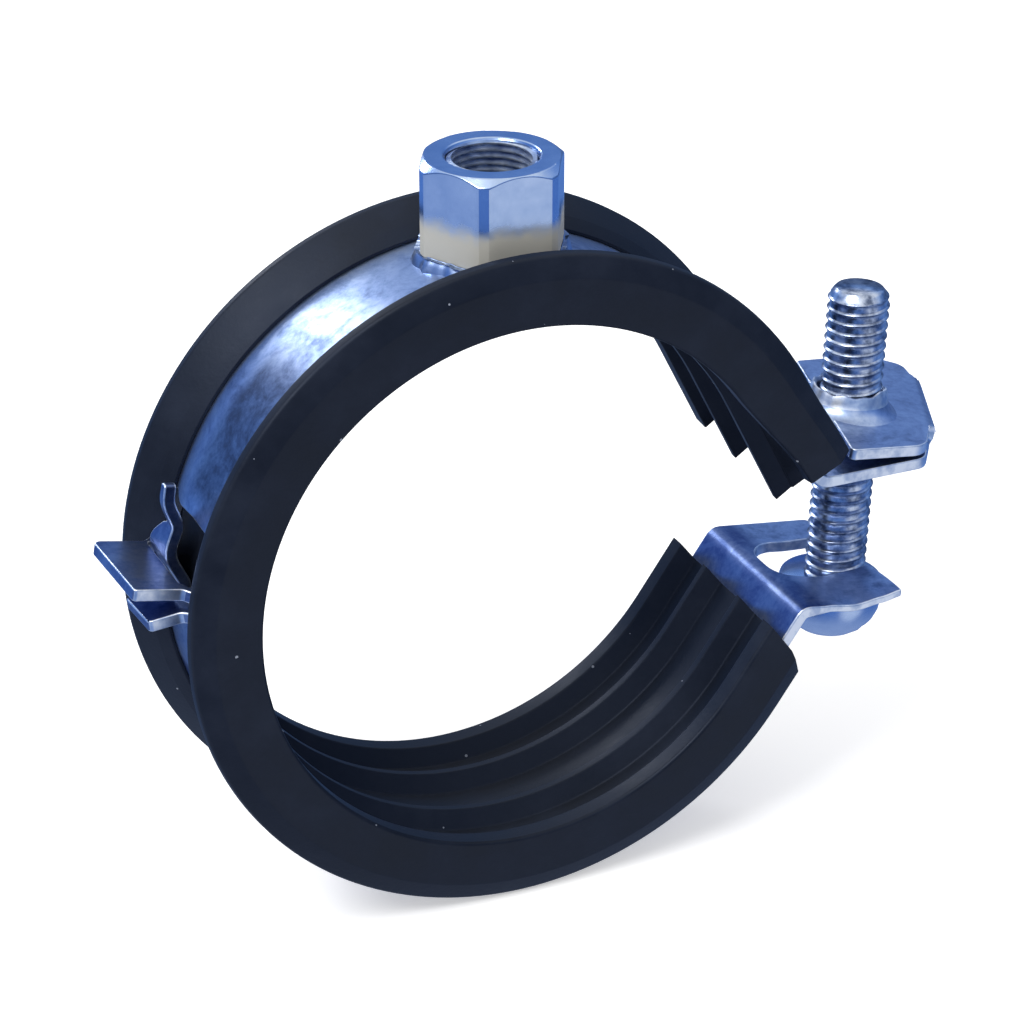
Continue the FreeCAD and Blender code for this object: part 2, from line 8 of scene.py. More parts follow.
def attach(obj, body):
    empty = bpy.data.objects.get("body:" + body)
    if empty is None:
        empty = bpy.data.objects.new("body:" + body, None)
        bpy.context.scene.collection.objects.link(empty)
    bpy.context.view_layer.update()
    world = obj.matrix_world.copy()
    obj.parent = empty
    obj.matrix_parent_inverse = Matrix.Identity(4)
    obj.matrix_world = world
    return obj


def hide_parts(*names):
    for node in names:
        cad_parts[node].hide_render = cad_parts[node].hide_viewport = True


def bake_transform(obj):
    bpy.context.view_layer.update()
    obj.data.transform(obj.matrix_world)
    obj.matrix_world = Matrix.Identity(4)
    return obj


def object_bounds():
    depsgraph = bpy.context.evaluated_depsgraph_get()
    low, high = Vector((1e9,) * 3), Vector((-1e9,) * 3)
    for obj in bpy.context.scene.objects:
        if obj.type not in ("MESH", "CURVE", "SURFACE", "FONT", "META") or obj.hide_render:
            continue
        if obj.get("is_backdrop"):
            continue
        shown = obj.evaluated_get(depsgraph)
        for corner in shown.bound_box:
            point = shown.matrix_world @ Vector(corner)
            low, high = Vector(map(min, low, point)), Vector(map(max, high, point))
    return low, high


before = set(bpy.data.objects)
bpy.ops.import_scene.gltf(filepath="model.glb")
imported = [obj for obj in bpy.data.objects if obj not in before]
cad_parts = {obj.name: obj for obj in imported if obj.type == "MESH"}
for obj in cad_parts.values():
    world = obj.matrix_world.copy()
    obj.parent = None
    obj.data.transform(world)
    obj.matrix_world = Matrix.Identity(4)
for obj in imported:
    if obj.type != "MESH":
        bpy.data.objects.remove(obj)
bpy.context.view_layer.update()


# Upper half ring. One strip of zinc-plated steel, cut flat and then bent: a hinge flange with
# a slot on the left, the arc over the pipe, and on the right an ear that is folded back over
# itself. Its sizes are in millimetres.
MM = 0.001
SHEET = 1.1
PIPE_SIDE = 27.5
STRIP_HALF = 9.25
FLANGE_HALF = 7.0
TINY_EDGE = 0.045
ARC_DEGREES = 11


def rounded(corners):
    """Outline points from corners given as (x, y, radius)."""
    points = []
    count = len(corners)
    for index, (x, y, radius) in enumerate(corners):
        here = Vector((x, y))
        back = (Vector(corners[index - 1][:2]) - here).normalized()
        ahead = (Vector(corners[(index + 1) % count][:2]) - here).normalized()
        if radius <= 0:
            points.append(here)
            continue
        half = back.angle(ahead) / 2
        middle = (back + ahead).normalized()
        centre = here + middle * (radius / math.sin(half))
        start = here + back * (radius / math.tan(half)) - centre
        end = here + ahead * (radius / math.tan(half)) - centre
        steps = max(3, int(math.degrees(math.pi - 2 * half) / ARC_DEGREES))
        for step in range(steps + 1):
            share = step / steps
            way = (start * (1 - share) + end * share).normalized()
            points.append(centre + way * radius)
    return points


def cut_blank(outline, holes=()):
    """A flat face in the shape of the outline, with its holes."""
    bm = bmesh.new()
    for loop in [outline, *holes]:
        verts = [bm.verts.new((p[0], p[1], 0)) for p in loop]
        for a, b in zip(verts, verts[1:] + verts[:1]):
            bm.edges.new((a, b))
    bmesh.ops.triangle_fill(bm, use_beauty=True, use_dissolve=False, edges=bm.edges[:])
    bmesh.ops.dissolve_limit(bm, angle_limit=0.01, verts=bm.verts[:], edges=bm.edges[:])
    return bm


def score(bm, start, end, step, heading=0.0):
    """Lines across the blank, close enough together for it to bend smoothly."""
    way = Vector((math.cos(heading), math.sin(heading), 0))
    count = max(1, round(abs(end - start) / step))
    for index in range(count + 1):
        place = start + (end - start) * index / count
        bmesh.ops.bisect_plane(
            bm, geom=bm.verts[:] + bm.edges[:] + bm.faces[:], dist=1e-5,
            plane_co=way * place, plane_no=way,
        )


def thicken(bm, thickness):
    """Close the blank's tiniest edges and give it its sheet thickness, upwards."""
    bmesh.ops.remove_doubles(bm, verts=bm.verts[:], dist=TINY_EDGE)
    bmesh.ops.recalc_face_normals(bm, faces=bm.faces[:])
    made = bmesh.ops.extrude_face_region(bm, geom=bm.faces[:])
    top = [e for e in made["geom"] if isinstance(e, bmesh.types.BMVert)]
    bmesh.ops.translate(bm, verts=top, vec=(0, 0, thickness))
    bmesh.ops.recalc_face_normals(bm, faces=bm.faces[:])


def fold(verts, at, angle, radius, heading=0.0, up=True):
    """Bend all that lies beyond a line by an angle. The radius is that of the blank's lower side."""
    way = Vector((math.cos(heading), math.sin(heading), 0))
    origin = Vector((at[0], at[1], 0))
    turn = math.radians(angle)
    sign = 1 if up else -1
    length = radius * turn
    for v in verts:
        rel = v.co - origin
        d = rel.dot(way)
        if d <= 0:
            continue
        h = sign * rel.z
        flat = Vector((rel.x, rel.y, 0)) - way * d
        phi = turn if d >= length else d / radius
        rest = max(0.0, d - length)
        run = (radius - h) * math.sin(phi) + rest * math.cos(phi)
        rise = radius - (radius - h) * math.cos(phi) + rest * math.sin(phi)
        v.co = origin + flat + way * run + Vector((0, 0, sign * rise))


def make_piece(name, bm, material, bevel=0.0, sharp=32, edge_highlight=None):
    """Turn a mesh in millimetres into an object in metres, with smooth faces and kept edges."""
    bmesh.ops.scale(bm, vec=(MM, MM, MM), verts=bm.verts[:])
    for face in bm.faces:
        face.smooth = True
    for edge in bm.edges:
        edge.smooth = len(edge.link_faces) == 2 and edge.calc_face_angle(0) < math.radians(sharp)
    if edge_highlight:
        # The cut sides of a strip face across its width, and lie away from its middle; they carry the
        # painted edge highlight
        for face in bm.faces:
            if abs(face.normal.y) > 0.7 and abs(face.calc_center_median().y) > 3 * MM:
                face.material_index = 1
    mesh = bpy.data.meshes.new(name)
    bm.to_mesh(mesh)
    bm.free()
    piece = bpy.data.objects.new(name, mesh)
    bpy.context.scene.collection.objects.link(piece)
    mesh.materials.append(material)
    if edge_highlight:
        mesh.materials.append(edge_highlight)
    if bevel:
        edges = piece.modifiers.new("rounded_edges", "BEVEL")
        edges.width = bevel * MM
        edges.segments = 2
        edges.limit_method = "ANGLE"
        edges.angle_limit = math.radians(40)
        edges.harden_normals = True
        # The bevel's faces carry the painted edge highlight as well
        if edge_highlight:
            edges.use_clamp_overlap = False
            edges.material = 1
    return piece


def linear(code):
    """Linear colour from a sRGB hex code."""
    parts = [int(code[i : i + 2], 16) / 255 for i in (1, 3, 5)]
    return [c / 12.92 if c <= 0.04045 else ((c + 0.055) / 1.055) ** 2.4 for c in parts] + [1.0]


def add_node(tree, kind, settings=None, numbered=None, **named):
    """A shader node with its settings, and its inputs by number or by name. Each input is a
    value or another node's output."""
    node = tree.nodes.new(kind)
    for key, value in (settings or {}).items():
        setattr(node, key, value)
    inputs = [(node.inputs[index], value) for index, value in (numbered or {}).items()]
    inputs += [(node.inputs[key.replace("_", " ")], value) for key, value in named.items()]
    for socket, value in inputs:
        if isinstance(value, bpy.types.NodeSocket):
            tree.links.new(value, socket)
        else:
            socket.default_value = value
    return node


def new_material(name):
    """An empty material and its node tree."""
    material = bpy.data.materials.new(name)
    material.use_nodes = True
    tree = material.node_tree
    tree.nodes.clear()
    return material, tree


def stops(node, *pairs):
    """Set a colour ramp's stops from (place, hex colour) pairs."""
    ramp = node.color_ramp
    while len(ramp.elements) < len(pairs):
        ramp.elements.new(0.5)
    for element, (place, code) in zip(ramp.elements, pairs):
        element.position = place
        element.color = linear(code)
    return node


def spread(tree, value, start, end, low=0.0, high=1.0, smooth=False):
    """A value mapped from start and end to low and high, and held there beyond them."""
    curve = {"interpolation_type": "SMOOTHSTEP" if smooth else "LINEAR"}
    node = add_node(
        tree, "ShaderNodeMapRange", curve, Value=value, From_Min=start, From_Max=end, To_Min=low, To_Max=high
    )
    return node.outputs["Result"]


def times(tree, first, second):
    node = add_node(tree, "ShaderNodeMath", {"operation": "MULTIPLY"}, {0: first, 1: second})
    return node.outputs["Value"]


def mixed(tree, share, colour, other):
    """A share of another colour mixed into a colour."""
    node = add_node(tree, "ShaderNodeMix", {"data_type": "RGBA"}, {6: colour, 7: other}, Factor=share)
    return node.outputs[2]


# Blue zinc plating on rolled strip: a bright bluish metal that mirrors softly. Clouds a few
# millimetres wide are where the bath left it darker, with dull flecks and a fine rolled grain.
zinc, tree = new_material("blue_zinc_plated_strip")
place = add_node(tree, "ShaderNodeTexCoord").outputs["Object"]
cloud = add_node(
    tree, "ShaderNodeTexNoise", Vector=place, Scale=230.0, Detail=5.0, Roughness=0.62, Distortion=0.8
)
fleck = add_node(tree, "ShaderNodeTexNoise", Vector=place, Scale=1500.0, Detail=3.0, Roughness=0.7)
mottle = add_node(
    tree, "ShaderNodeMix", {"data_type": "FLOAT"}, Factor=0.3, A=cloud.outputs["Fac"], B=fleck.outputs["Fac"]
).outputs["Result"]
tint = stops(
    add_node(tree, "ShaderNodeValToRGB", Fac=mottle),
    (0.36, "#7488B0"), (0.47, "#97ABD0"), (0.56, "#AFC0DF"), (0.68, "#C6D2E8"),
)
axes = add_node(tree, "ShaderNodeSeparateXYZ", Vector=place).outputs
# A darker, mottled zone lies on the near half of the upper strip, above the hinge
darkened_zone = times(tree, spread(tree, axes["Y"], 0.0030, 0.0012), spread(tree, axes["X"], -0.0150, -0.0200))
darkened_zone = times(tree, darkened_zone, spread(tree, axes["Z"], 0.0092, 0.0110))
darkened_zone = times(tree, darkened_zone, spread(tree, mottle, 0.36, 0.6, 1.0, 0.55))
colour = mixed(tree, darkened_zone, tint.outputs["Color"], linear("#4B5468"))
# Painted shade: the hinge end and the lower ear's leg are painted a darker blue, mottled, to hold down the
# highlights they would mirror
hinge_end_shade = spread(tree, axes["X"], -0.0278, -0.0292, 0.0, 0.72)
ear_leg_shade = spread(tree, axes["X"], 0.0312, 0.0298, 0.0, 0.92)
ear_leg_shade = times(tree, ear_leg_shade, spread(tree, axes["Z"], -0.0072, -0.0080))
painted_shade = add_node(tree, "ShaderNodeMath", {"operation": "MAXIMUM"}, {0: hinge_end_shade, 1: ear_leg_shade})
painted_shade = times(tree, painted_shade.outputs["Value"], spread(tree, mottle, 0.38, 0.62, 1.0, 0.7))
colour = mixed(tree, painted_shade, colour, linear("#3A5088"))
gloss = spread(tree, mottle, 0.35, 0.65, 0.42, 0.3)
swell = add_node(tree, "ShaderNodeTexNoise", Vector=place, Scale=300.0, Detail=2.0, Roughness=0.4)
bump = add_node(tree, "ShaderNodeBump", Height=swell.outputs["Fac"], Strength=0.25, Distance=0.0002)
grain = add_node(
    tree, "ShaderNodeBump", Height=fleck.outputs["Fac"], Strength=0.08, Distance=0.00004,
    Normal=bump.outputs["Normal"],
)
surface = add_node(
    tree, "ShaderNodeBsdfPrincipled", Base_Color=colour, Metallic=1.0, Roughness=gloss,
    Normal=grain.outputs["Normal"],
)
add_node(tree, "ShaderNodeOutputMaterial", Surface=surface.outputs["BSDF"])

# Painted highlight on the sheared edges: they are painted nearly white, like light glinting along them
painted_edge_highlight, tree = new_material("zinc_edge_painted_highlight")
place = add_node(tree, "ShaderNodeTexCoord").outputs["Object"]
highlight_cloud = add_node(tree, "ShaderNodeTexNoise", Vector=place, Scale=900.0, Detail=3.0)
tint = stops(
    add_node(tree, "ShaderNodeValToRGB", Fac=highlight_cloud.outputs["Fac"]),
    (0.35, "#B9C6DC"), (0.6, "#F1F4F9"),
)
surface = add_node(
    tree, "ShaderNodeBsdfPrincipled", Base_Color=tint.outputs["Color"], Metallic=1.0, Roughness=0.4
)
add_node(tree, "ShaderNodeOutputMaterial", Surface=surface.outputs["BSDF"])

# The flat blank runs from the hinge end on the left to the flap's end on the right, with
# zero at the top of the ring. The arc ends at an angle above level, and a straight run and a
# bend lead on to the ear.
UPPER_END = 27
RIGHT_TURN = 90 - UPPER_END
ARC_RIGHT = PIPE_SIDE * math.radians(RIGHT_TURN)
RUN_RIGHT = 8.42
EAR_BEND = 2.25
EAR_TURN = 63.0
ear_flat = ARC_RIGHT + RUN_RIGHT + EAR_BEND * math.radians(EAR_TURN)
EAR_FLAT_X = 30.33
ear_shift = ear_flat - EAR_FLAT_X
# The flap is folded over along a slanted line, and stays open a little
FOLD_X = 45.74
FOLD_TILT = math.radians(-23)
FOLD_RADIUS = SHEET + 0.1
FOLD_ANGLE = 171.8
fold_way = Vector((math.cos(FOLD_TILT), math.sin(FOLD_TILT)))
fold_at = Vector((FOLD_X + ear_shift, 0)) - fold_way * FOLD_RADIUS
fold_length = FOLD_RADIUS * math.radians(FOLD_ANGLE)


def unfold(x, y, radius):
    """Where a corner of the flap's plan lies on the flat blank."""
    point = Vector((x + ear_shift, y))
    back = -(point - fold_at).dot(fold_way)
    flat = point + fold_way * (2 * back + fold_length)
    return (flat.x, flat.y, radius)


LEFT_TURN = 77.0
ARC_LEFT = PIPE_SIDE * math.radians(LEFT_TURN)
DROP_LEFT = 1.55
FLANGE_BEND = 2.1
FLANGE_SLOPE = 10.5
FLANGE_REACH = 5.68
FLANGE_TURN = LEFT_TURN + FLANGE_SLOPE
flange_start = -(ARC_LEFT + DROP_LEFT)
bend_end = flange_start - FLANGE_BEND * math.radians(FLANGE_TURN)
flange_tip = bend_end - FLANGE_REACH
shoulder = flange_start + 1.0
outline = rounded([
    (flange_tip + 0.4, -4.9, 0.4),
    (bend_end - 0.9, -5.0, 0.6),
    (bend_end + 0.7, -FLANGE_HALF, 0.5),
    (shoulder, -FLANGE_HALF, 0.3),
    (shoulder, -STRIP_HALF, 0.4),
    (40.1 + ear_shift, -STRIP_HALF, 1.4),
    (43.2 + ear_shift, -5.1, 0.8),
    unfold(43.2, -4.6, 1.2),
    unfold(39.9, -9.4, 2.4),
    unfold(32.0, -9.4, 0.5),
    unfold(36.4, 9.5, 0.6),
    unfold(44.2, 9.9, 2.2),
    unfold(47.0, 7.4, 1.6),
    unfold(46.6, 4.6, 1.6),
    (44.7 + ear_shift, 4.0, 0.8),
    (40.6 + ear_shift, STRIP_HALF, 1.6),
    (shoulder, STRIP_HALF, 0.4),
    (shoulder, FLANGE_HALF, 0.3),
    (bend_end + 0.7, FLANGE_HALF, 0.5),
    (bend_end - 0.9, 5.2, 0.6),
    (flange_tip, 5.35, 0.7),
])
window = rounded([
    (bend_end - 0.8, -3.6, 0.5),
    (bend_end - 0.3, -4.5, 0.4),
    (flange_start + 3.1, -4.5, 0.4),
    (flange_start + 3.3, 0.2, 3.0),
    (flange_start + 3.1, 3.8, 1.6),
    (flange_start + 4.8, 5.2, 0.4),
    (bend_end - 0.8, 5.0, 0.6),
])
# The screw goes through the ear and, as it leans a little, further out through the flap
FLAP_HOLE_X, FLAP_HOLE = 37.07, 3.4
EAR_HOLE_X, EAR_HOLE = 36.87, 3.6
BEND_STEP, ARC_STEP, EAR_STEP = 0.35, 0.9, 0.5


def circle(centre, radius, count=40):
    turns = [2 * math.pi * step / count for step in range(count)]
    return [(centre[0] + radius * math.cos(t), centre[1] + radius * math.sin(t)) for t in turns]


ear_hole = circle((EAR_HOLE_X + ear_shift, 0), EAR_HOLE)
flap_hole = circle(unfold(FLAP_HOLE_X, 0, 0), FLAP_HOLE)
bm = cut_blank(outline, [window, ear_hole, flap_hole])
score(bm, flange_tip, flange_start, BEND_STEP)
score(bm, flange_start, ARC_RIGHT, ARC_STEP)
score(bm, ARC_RIGHT, ear_flat, EAR_STEP)
fold_place = fold_at.dot(fold_way)
score(bm, fold_place, fold_place + fold_length, BEND_STEP, heading=FOLD_TILT)
thicken(bm, SHEET)
right = [v for v in bm.verts if v.co.x > 0]
left = [v for v in bm.verts if v.co.x <= 0]
fold(right, fold_at, FOLD_ANGLE, FOLD_RADIUS, FOLD_TILT)
fold(right, (ARC_RIGHT + RUN_RIGHT, 0), EAR_TURN, EAR_BEND)
fold(right, (0, 0), RIGHT_TURN, PIPE_SIDE, up=False)
fold(left, (flange_start, 0), FLANGE_TURN, FLANGE_BEND, math.pi)
fold(left, (0, 0), LEFT_TURN, PIPE_SIDE, math.pi, up=False)
bmesh.ops.translate(bm, verts=bm.verts[:], vec=(0, 0, PIPE_SIDE))
upper_strip = make_piece("upper_half_strip", bm, zinc, bevel=0.13, edge_highlight=painted_edge_highlight)
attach(upper_strip, "upper_half")
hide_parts("upper_half_ring")


# Thread collar. The screw's thread is cut into a collar that is drawn up out of the
# folded-back flap, with a soft foot and a torn, slightly uneven rim.
SCREW_X = 36.9
SCREW_LEAN = math.radians(2.65)
screw_way = Vector((math.sin(SCREW_LEAN), 0, math.cos(SCREW_LEAN)))


def on_screw(height):
    """The point on the screw's leaning axis at a height over the ring's middle."""
    return Vector((SCREW_X + height * math.tan(SCREW_LEAN), 0, height))


def turned(points, steps):
    """A profile of (radius, height) points spun round the Z axis."""
    bm = bmesh.new()
    verts = [bm.verts.new((r, 0, z)) for r, z in points]
    edges = [bm.edges.new(pair) for pair in zip(verts, verts[1:])]
    bmesh.ops.spin(
        bm, geom=verts + edges, cent=(0, 0, 0), axis=(0, 0, 1), angle=2 * math.pi, steps=steps,
        use_merge=True, use_duplicate=False, dvec=(0, 0, 0),
    )
    bmesh.ops.remove_doubles(bm, verts=bm.verts[:], dist=1e-4)
    bmesh.ops.recalc_face_normals(bm, faces=bm.faces[:])
    return bm


def stand(bm, foot, way):
    """Move a piece made round Z onto an axis that starts at a point."""
    turn = Vector((0, 0, 1)).rotation_difference(way).to_matrix().to_4x4()
    bmesh.ops.transform(bm, matrix=Matrix.Translation(foot) @ turn, verts=bm.verts[:])


collar = turned([
    (3.0, -1.3), (5.5, -1.0), (5.05, -0.64), (4.5, -0.4), (4.1, -0.05), (3.82, 0.4), (3.66, 0.9),
    (3.54, 1.35), (3.44, 1.56), (3.3, 1.6), (3.14, 1.45), (3.04, 1.1), (3.0, -1.3),
], steps=72)
TORN_FROM = 0.8
for v in collar.verts:
    if v.co.z > TORN_FROM:
        angle = math.atan2(v.co.y, v.co.x)
        v.co.z += 0.14 * math.sin(2 * angle + 2.6) + 0.08 * math.sin(5 * angle)
        v.co.z += 0.09 * math.sin(11 * angle + 1)
        v.co.x *= 1 + 0.02 * math.sin(7 * angle) + 0.015 * math.sin(17 * angle)
FLAP_TOP = 7.3
COLLAR_OFFSET = Vector((-0.3, 0, 0))
flap_way = Vector((0.115, 0.05, 1)).normalized()
flap_top = on_screw(FLAP_TOP)
stand(collar, flap_top + COLLAR_OFFSET, flap_way)
collar_piece = make_piece("thread_collar", collar, zinc)
# Painted highlight: the collar's wall, from just above its soft foot, is painted nearly white with the edge
# highlight
collar_piece.data.materials.append(painted_edge_highlight)
WALL_FROM = 0.25
for face in collar_piece.data.polygons:
    rise = (face.center / MM - flap_top).dot(flap_way)
    face.material_index = int(rise > WALL_FROM)
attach(collar_piece, "upper_half")


# Threaded boss. A hexagon bar piece, turned on top, tapped M8 and welded on the strip, where
# a bead of weld shows at its foot.
BOSS_FLATS = 12.0
BOSS_TOP = 37.25
BOSS_X = 0.85
BOSS_FOOT = 28.85
FOOT_WAVE = 0.12
BOSS_CORNER, BEAD_CORNER = 0.3, 0.5
CHAMFER_FROM, CHAMFER_SLOPE = 5.95, 0.95
STRIP_OUT = PIPE_SIDE + SHEET


def hexagon(angle, round_over):
    """Distance from the bar's axis to its side, with its corners a little rounded."""
    turn = (angle % (math.pi / 3)) - math.pi / 6
    side = BOSS_FLATS / 2 / math.cos(turn)
    return min(side, BOSS_FLATS / math.sqrt(3) - round_over)


def radius_and_angle(v):
    return Vector((v.co.x, v.co.y)).length, math.atan2(v.co.y, v.co.x)


# Rings beyond WALL_RING are moved out onto the hexagon: the first lies on its foot, and the
# others are spread over its wall. The rest are the faced top and the bore.
WALL_RING = 6.5
FOOT_RING = 6.8
FOOT_INSET = 1.2
WALL_RISE, TOP_RISE = 2.0, 2.5
boss = turned([
    (6.6, 0.0), (7.0, 0.0), (7.0, 1.0), (7.0, WALL_RISE), (5.9, TOP_RISE), (4.3, TOP_RISE), (4.18, 2.42),
    (4.08, 2.25), (4.08, -7.0),
], steps=96)
for v in boss.verts:
    radius, angle = radius_and_angle(v)
    if radius > WALL_RING:
        wall = hexagon(angle, BOSS_CORNER)
        inset = FOOT_INSET if radius < FOOT_RING else 0.0
        v.co.x, v.co.y = (wall - inset) * math.cos(angle), (wall - inset) * math.sin(angle)
        top = BOSS_TOP - max(0.0, wall - CHAMFER_FROM) * CHAMFER_SLOPE
        low = BOSS_FOOT - FOOT_WAVE * math.cos(3 * angle)
        v.co.z = low + (top - low) * v.co.z / WALL_RISE
    else:
        v.co.z += BOSS_TOP - TOP_RISE
bmesh.ops.translate(boss, verts=boss.verts[:], vec=(BOSS_X, 0, 0))


def helix(bm, profile, pitch, low, high, steps=44):
    """A thread: its profile over one pitch, wound round Z from low to high."""
    verts = [bm.verts.new((r, 0, low - 2 * pitch + z)) for r, z in profile]
    edges = [bm.edges.new(pair) for pair in zip(verts, verts[1:])]
    turns = math.ceil((high - low) / pitch) + 3
    bmesh.ops.spin(
        bm, geom=verts + edges, cent=(0, 0, 0), axis=(0, 0, 1), angle=2 * math.pi * turns,
        steps=steps * turns, use_merge=False, use_duplicate=False, dvec=(0, 0, pitch / steps),
    )
    bmesh.ops.remove_doubles(bm, verts=bm.verts[:], dist=2e-3)
    for plane, way in ((low, -1), (high, 1)):
        bmesh.ops.bisect_plane(
            bm, geom=bm.verts[:] + bm.edges[:] + bm.faces[:], dist=1e-5,
            plane_co=(0, 0, plane), plane_no=(0, 0, way), clear_outer=True,
        )


TAPPED_PITCH = 0.625
TAPPED_LOW, TAPPED_HIGH = 28.7, BOSS_TOP - 0.22
tapped = bmesh.new()
turn_profile = [(3.5, 0), (3.5, 0.07), (3.98, 0.3), (3.98, 0.36), (3.5, 0.58), (3.5, TAPPED_PITCH)]
helix(tapped, turn_profile, TAPPED_PITCH, TAPPED_LOW, TAPPED_HIGH)
for face in tapped.faces:
    face.normal_flip()
bmesh.ops.translate(tapped, verts=tapped.verts[:], vec=(BOSS_X, 0, 0))

# Bright zinc on turned bar: a smooth mirror-like plating. At its foot the boss is dull and cream
# from the heat of the weld.
steel, tree = new_material("bright_zinc_plated_steel")
place = add_node(tree, "ShaderNodeTexCoord").outputs["Object"]
cloud = add_node(tree, "ShaderNodeTexNoise", Vector=place, Scale=260.0, Detail=4.0, Roughness=0.6)
tint = stops(
    add_node(tree, "ShaderNodeValToRGB", Fac=cloud.outputs["Fac"]),
    (0.3, "#9EB5DA"), (0.7, "#BDCEEA"),
)
height = add_node(tree, "ShaderNodeSeparateXYZ", Vector=place).outputs["Z"]
ragged = {0: cloud.outputs["Fac"], 1: 0.003, 2: height}
warm = add_node(tree, "ShaderNodeMath", {"operation": "MULTIPLY_ADD"}, ragged).outputs["Value"]
above = add_node(tree, "ShaderNodeMath", {"operation": "GREATER_THAN"}, {0: height, 1: 0.0278})
heat = times(tree, spread(tree, warm, 0.0346, 0.0328, smooth=True), above.outputs["Value"])
colour = mixed(tree, heat, tint.outputs["Color"], linear("#BFBDB4"))
grain = add_node(tree, "ShaderNodeTexNoise", Vector=place, Scale=3000.0, Detail=2.0)
bump = add_node(tree, "ShaderNodeBump", Height=grain.outputs["Fac"], Strength=0.1, Distance=0.00004)
surface = add_node(
    tree, "ShaderNodeBsdfPrincipled", Base_Color=colour, Metallic=spread(tree, heat, 0.0, 1.0, 1.0, 0.12),
    Roughness=spread(tree, heat, 0.0, 1.0, 0.25, 0.5), Normal=bump.outputs["Normal"],
)
add_node(tree, "ShaderNodeOutputMaterial", Surface=surface.outputs["BSDF"])

# Cut threads in the boss: painted light, paler and less metallic than the plating, so that the bore looks
# lit and paler than a mirror
cut_thread, tree = new_material("tapped_zinc_thread")
place = add_node(tree, "ShaderNodeTexCoord").outputs["Object"]
thread_mottle = add_node(tree, "ShaderNodeTexNoise", Vector=place, Scale=1200.0, Detail=3.0)
tint = stops(
    add_node(tree, "ShaderNodeValToRGB", Fac=thread_mottle.outputs["Fac"]),
    (0.3, "#8C9EBE"), (0.7, "#D6E0EF"),
)
surface = add_node(
    tree, "ShaderNodeBsdfPrincipled", Base_Color=tint.outputs["Color"], Metallic=0.8, Roughness=0.25
)
add_node(tree, "ShaderNodeOutputMaterial", Surface=surface.outputs["BSDF"])

boss_piece = make_piece("hexagon_boss", boss, steel, bevel=0.14, sharp=20)
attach(boss_piece, "upper_half")
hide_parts("threaded_boss")

# The bead of weld: a lumpy fillet of melted steel between the bar's foot and the strip. Its
# profile gives the distance out from the hexagon and the height.
BEAD_SINK = 0.3
BEAD_LOW = 28
bead = turned([(-0.5, 29.15), (0.06, 29.2), (0.3, 29.0), (0.6, 28.6), (0.9, 27.9), (-0.5, 27.6)], steps=144)
for v in bead.verts:
    radius, angle = radius_and_angle(v)
    along_x = abs(math.cos(angle)) > 0.5
    reach = v.co.x / math.cos(angle) if along_x else v.co.y / math.sin(angle)
    lump = 1 + 0.2 * math.sin(5 * angle + 0.7) + 0.14 * math.sin(13 * angle + 2)
    lump += 0.06 * math.sin(29 * angle)
    wall = hexagon(angle, BEAD_CORNER) + (reach * lump if reach > 0 else reach)
    v.co.x, v.co.y = wall * math.cos(angle), wall * math.sin(angle)
    ground = math.sqrt(STRIP_OUT**2 - (v.co.x + BOSS_X) ** 2)
    if v.co.z < BEAD_LOW:
        v.co.z = ground - BEAD_SINK
    else:
        v.co.z = max(ground + 0.05, v.co.z - 0.5 * abs(lump - 1))
bmesh.ops.translate(bead, verts=bead.verts[:], vec=(BOSS_X, 0, 0))
bead_piece = make_piece("boss_weld_bead", bead, zinc, sharp=75)
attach(bead_piece, "upper_half")
tapped_piece = make_piece("boss_thread", tapped, cut_thread, sharp=50)
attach(tapped_piece, "upper_half")


# Lower half ring. A strip of the same steel: a short ear with an open slot on the right, the
# arc under the pipe, and at the hinge two flanges with the S-shaped tongue between them.
# Its flat blank has zero at the bottom of the ring, and its arc ends at an angle below level
LOWER_END = -35
LOWER_RIGHT_TURN = 90 + LOWER_END
ARC_EAR = PIPE_SIDE * math.radians(LOWER_RIGHT_TURN)
RUN_EAR = 8.5
LOWER_BEND = 0.35
LOWER_TURN = 55.0
lower_ear_flat = ARC_EAR + RUN_EAR + (LOWER_BEND + SHEET) * math.radians(LOWER_TURN)
EAR_END = 38.5
LOWER_EAR_X = 28.66
ear_end_flat = lower_ear_flat + (EAR_END - LOWER_EAR_X)
SLOT_NEAR, SLOT_FAR = -3.1, 4.6
slot_root = lower_ear_flat + 0.5
LOWER_LEFT_TURN = 85
LOWER_FLANGE_SLOPE = 8.0
LOWER_FLANGE_REACH = 3.9
STEM = 3.0
lower_root = -(PIPE_SIDE * math.radians(LOWER_LEFT_TURN) + STEM)
LOWER_FLANGE_TURN = LOWER_LEFT_TURN + LOWER_FLANGE_SLOPE
lower_bend_end = lower_root - FLANGE_BEND * math.radians(LOWER_FLANGE_TURN)
lower_tip = lower_bend_end - LOWER_FLANGE_REACH
lower_shoulder = lower_root + 1.2
